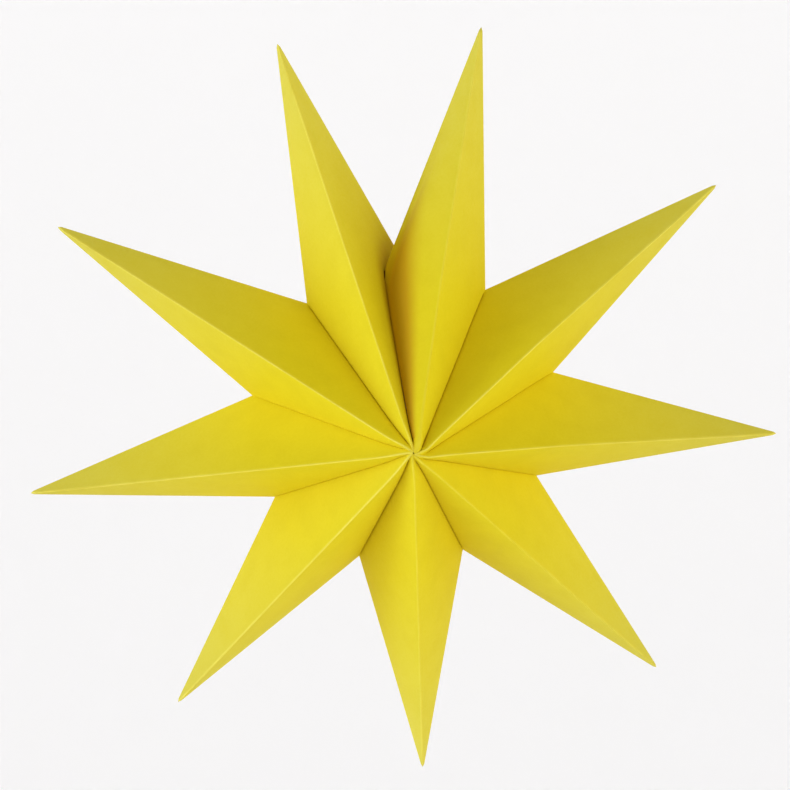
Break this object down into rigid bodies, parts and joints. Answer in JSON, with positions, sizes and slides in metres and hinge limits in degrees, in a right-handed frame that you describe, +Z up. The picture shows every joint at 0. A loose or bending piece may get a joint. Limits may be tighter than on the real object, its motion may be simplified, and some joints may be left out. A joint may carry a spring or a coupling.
{
  "type": "paper star lantern",
  "caption": "Folding star lantern of yellow card: long hollow pointed cones glued side by side round a hollow middle, closed by tape at one seam and hung from it.",
  "frame": {"origin": "top of the closing seam, between the two upper points, in the star's middle plane; the star's middle is 68 mm below it", "axes": "+Z up, along the seam and out of its top; -Y to the front of the star; +X to the star's right as seen from the front"},
  "size_m": [0.2924, 0.1067, 0.2922],
  "materials": {
    "card": "matte yellow card",
    "foam_tape": "off-white double-sided foam tape"
  },
  "bodies": {
    "root": {"point_1": "card", "point_2": "card", "point_3": "card", "point_4": "card", "point_5": "card", "point_6": "card", "point_7": "card", "point_8": "card", "point_9": "card", "closing_tape_front": "foam_tape", "closing_tape_back": "foam_tape"}
  },
  "joints": []
}
